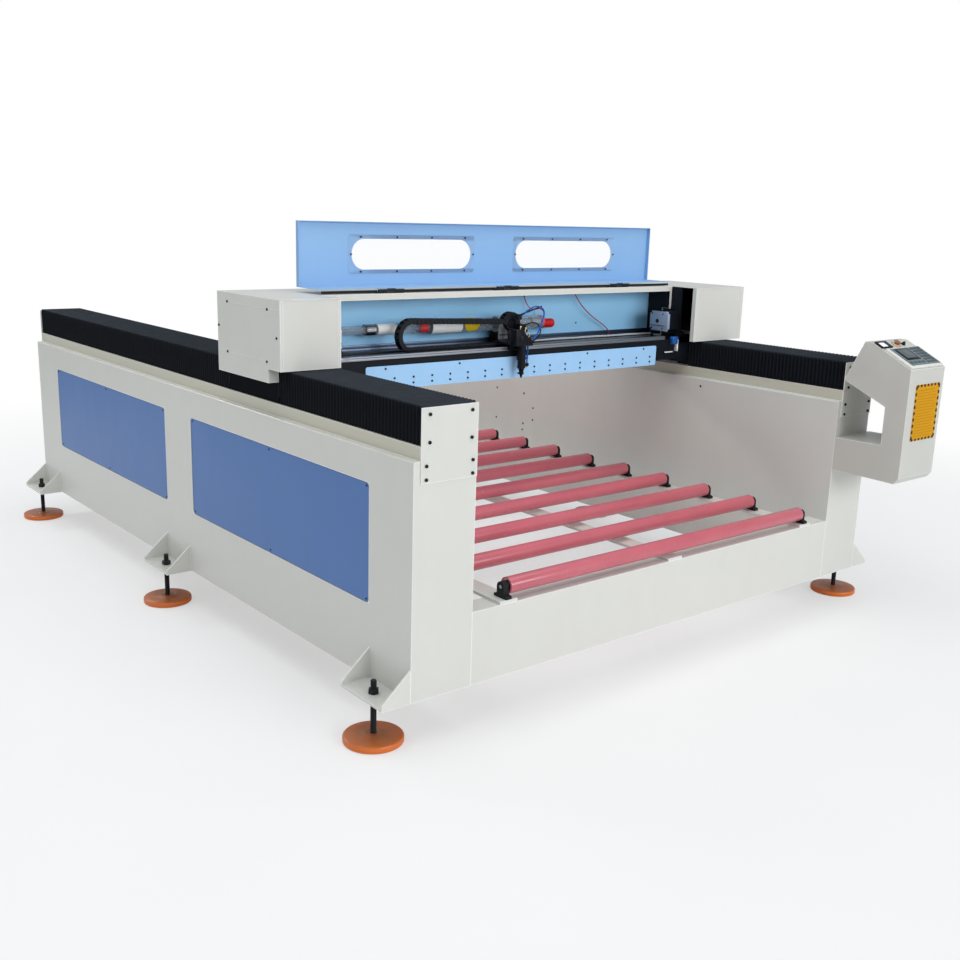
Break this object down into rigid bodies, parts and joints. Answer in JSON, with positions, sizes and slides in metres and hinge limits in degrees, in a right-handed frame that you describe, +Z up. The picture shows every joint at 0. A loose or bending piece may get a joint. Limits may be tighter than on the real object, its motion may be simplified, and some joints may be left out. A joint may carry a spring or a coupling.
{
  "type": "carbon dioxide laser cutting machine",
  "caption": "Flat-bed carbon dioxide laser cutting machine: bellows-covered gantry with folding blue hood, glass tube, drag chain, roller bed and sloped control cabinet.",
  "frame": {"origin": "on the floor, in the middle of the machine's width and of its length from the control cabinet's front to the rear end plates", "axes": "+X to the operator's right, +Y to the back along the long walls, +Z up"},
  "size_m": [2.5758, 3.491, 1.507],
  "materials": {
    "ivory_coat": "semi-matt fine-texture powder coat",
    "sky_blue_coat": "semi-gloss powder coat",
    "panel_blue_coat": "semi-gloss powder coat",
    "black_coat": "satin black paint",
    "bellows_cloth": "matt coated cloth",
    "bright_steel": "ground bright",
    "black_steel": "blackened screw steel",
    "pad_orange": "moulded, slightly glossy",
    "roller_pink": "film-wrapped sleeve",
    "black_plastic": "moulded nylon",
    "white_plastic": "moulded",
    "red_plastic": "moulded silicone cap",
    "tube_glass": "clear",
    "clear_acrylic": "clear",
    "belt_rubber": "moulded",
    "screen_dark": "membrane and screen",
    "hose_skin": "extruded",
    "lead_red": "silicone jacket",
    "switch_blue": "moulded"
  },
  "bodies": {
    "frame": {"left_wall": "ivory_coat", "right_wall": "ivory_coat", "crossbeams": "ivory_coat", "side_panels": "panel_blue_coat", "foot_brackets": "ivory_coat", "foot_screws": "black_steel", "foot_pads": "pad_orange", "rails_and_racks": "bright_steel", "end_plates": "ivory_coat", "front_bellows": "bellows_cloth", "rear_bellows": "bellows_cloth", "bed_bars": "ivory_coat", "roller_blocks": "black_plastic", "control_cabinet": "ivory_coat", "cabinet_screens": "screen_dark"},
    "gantry": {"gantry_saddles": "black_coat", "gantry_beam": "black_coat", "head_rail": "bright_steel", "beam_skirt": "sky_blue_coat", "left_end_cover": "ivory_coat", "right_end_cover": "ivory_coat", "top_cover": "ivory_coat", "back_panel": "sky_blue_coat", "laser_tube": "tube_glass", "tube_clamps": "white_plastic", "mirror_mounts": "black_coat", "drive_belt": "belt_rubber", "head_belt": "belt_rubber", "drive_motors": "black_coat", "limit_switch": "switch_blue", "hood_hinges": "black_steel", "chain_lower_run": "black_plastic", "gantry_wiring": "lead_red"},
    "head": {"head_carriage": "black_coat", "chain_upper_run": "black_plastic", "head_hoses": "hose_skin"},
    "focus": {"focus_tube": "black_coat"},
    "chain_bend": {"chain_bend": "black_plastic"},
    "hood": {"hood": "sky_blue_coat", "hood_windows": "clear_acrylic"},
    "drive_shaft": {"drive_shaft": "bright_steel"},
    "motor_pulley": {"motor_pulley": "bright_steel"},
    "head_drive_pulley": {"head_drive_pulley": "bright_steel"},
    "head_idler_pulley": {"head_idler_pulley": "bright_steel"},
    "estop": {"estop_button": "red_plastic"},
    "key": {"key_switch": "black_plastic"},
    "roller_01": {"roller_01": "roller_pink"},
    "roller_02": {"roller_02": "roller_pink"},
    "roller_03": {"roller_03": "roller_pink"},
    "roller_04": {"roller_04": "roller_pink"},
    "roller_05": {"roller_05": "roller_pink"},
    "roller_06": {"roller_06": "roller_pink"},
    "roller_07": {"roller_07": "roller_pink"},
    "roller_08": {"roller_08": "roller_pink"},
    "roller_09": {"roller_09": "roller_pink"},
    "roller_10": {"roller_10": "roller_pink"},
    "roller_11": {"roller_11": "roller_pink"},
    "roller_12": {"roller_12": "roller_pink"},
    "roller_13": {"roller_13": "roller_pink"},
    "roller_14": {"roller_14": "roller_pink"}
  },
  "joints": [
    {"name": "gantry_slide", "type": "slide", "parent": "frame", "child": "gantry", "axis": [0, 1, 0], "range_m": [-0.7, 1.78], "deforming": ["front_bellows", "rear_bellows"]},
    {"name": "head_slide", "type": "slide", "parent": "gantry", "child": "head", "axis": [1, 0, 0], "range_m": [-0.64, 0.7], "deforming": ["chain_lower_run", "chain_upper_run"]},
    {"name": "focus_slide", "type": "slide", "parent": "head", "child": "focus", "axis": [0, 0, 1], "range_m": [-0.015, 0.015]},
    {"name": "chain_bend_slide", "type": "slide", "parent": "gantry", "child": "chain_bend", "axis": [1, 0, 0], "range_m": [-0.32, 0.35]},
    {"name": "hood_hinge", "type": "hinge", "parent": "gantry", "child": "hood", "pos_m": [0, -0.5865, 1.2725], "axis": [1, 0, 0], "range_deg": [0, 180]},
    {"name": "drive_shaft_spin", "type": "hinge", "parent": "gantry", "child": "drive_shaft", "pos_m": [0, -0.3775, 0.9778], "axis": [1, 0, 0], "continuous": true},
    {"name": "motor_pulley_spin", "type": "hinge", "parent": "gantry", "child": "motor_pulley", "pos_m": [0.897, -0.5995, 1.113], "axis": [1, 0, 0], "continuous": true},
    {"name": "head_drive_pulley_spin", "type": "hinge", "parent": "gantry", "child": "head_drive_pulley", "pos_m": [-0.992, -0.6135, 1.049], "axis": [0, 1, 0], "continuous": true},
    {"name": "head_idler_pulley_spin", "type": "hinge", "parent": "gantry", "child": "head_idler_pulley", "pos_m": [0.945, -0.6135, 1.049], "axis": [0, 1, 0], "continuous": true},
    {"name": "estop_press", "type": "slide", "parent": "frame", "child": "estop", "axis": [0, 0.4535, -0.8912], "range_m": [0, 0.004], "stiffness_N_per_m": 400, "springref_m": -0.002},
    {"name": "key_turn", "type": "hinge", "parent": "frame", "child": "key", "pos_m": [1.083, -1.60324, 1.1014], "axis": [0, -0.4535, 0.8912], "range_deg": [0, 90]},
    {"name": "roller_01_spin", "type": "hinge", "parent": "frame", "child": "roller_01", "pos_m": [0, -1.4275, 0.428], "axis": [1, 0, 0], "continuous": true},
    {"name": "roller_02_spin", "type": "hinge", "parent": "frame", "child": "roller_02", "pos_m": [0, -1.1915, 0.428], "axis": [1, 0, 0], "continuous": true},
    {"name": "roller_03_spin", "type": "hinge", "parent": "frame", "child": "roller_03", "pos_m": [0, -0.9555, 0.428], "axis": [1, 0, 0], "continuous": true},
    {"name": "roller_04_spin", "type": "hinge", "parent": "frame", "child": "roller_04", "pos_m": [0, -0.7195, 0.428], "axis": [1, 0, 0], "continuous": true},
    {"name": "roller_05_spin", "type": "hinge", "parent": "frame", "child": "roller_05", "pos_m": [0, -0.4835, 0.428], "axis": [1, 0, 0], "continuous": true},
    {"name": "roller_06_spin", "type": "hinge", "parent": "frame", "child": "roller_06", "pos_m": [0, -0.2475, 0.428], "axis": [1, 0, 0], "continuous": true},
    {"name": "roller_07_spin", "type": "hinge", "parent": "frame", "child": "roller_07", "pos_m": [0, -0.0115, 0.428], "axis": [1, 0, 0], "continuous": true},
    {"name": "roller_08_spin", "type": "hinge", "parent": "frame", "child": "roller_08", "pos_m": [0, 0.2245, 0.428], "axis": [1, 0, 0], "continuous": true},
    {"name": "roller_09_spin", "type": "hinge", "parent": "frame", "child": "roller_09", "pos_m": [0, 0.4605, 0.428], "axis": [1, 0, 0], "continuous": true},
    {"name": "roller_10_spin", "type": "hinge", "parent": "frame", "child": "roller_10", "pos_m": [0, 0.6965, 0.428], "axis": [1, 0, 0], "continuous": true},
    {"name": "roller_11_spin", "type": "hinge", "parent": "frame", "child": "roller_11", "pos_m": [0, 0.9325, 0.428], "axis": [1, 0, 0], "continuous": true},
    {"name": "roller_12_spin", "type": "hinge", "parent": "frame", "child": "roller_12", "pos_m": [0, 1.1685, 0.428], "axis": [1, 0, 0], "continuous": true},
    {"name": "roller_13_spin", "type": "hinge", "parent": "frame", "child": "roller_13", "pos_m": [0, 1.4045, 0.428], "axis": [1, 0, 0], "continuous": true},
    {"name": "roller_14_spin", "type": "hinge", "parent": "frame", "child": "roller_14", "pos_m": [0, 1.6405, 0.428], "axis": [1, 0, 0], "continuous": true}
  ],
  "couplings": [
    {"joint": "chain_bend_slide", "follows": "head_slide", "ratio": 0.5},
    {"joint": "drive_shaft_spin", "follows": "gantry_slide", "rad_per_m": -23.809},
    {"joint": "motor_pulley_spin", "follows": "gantry_slide", "rad_per_m": -67.223},
    {"joint": "head_drive_pulley_spin", "follows": "head_slide", "rad_per_m": 99.502},
    {"joint": "head_idler_pulley_spin", "follows": "head_slide", "rad_per_m": 99.502}
  ]
}
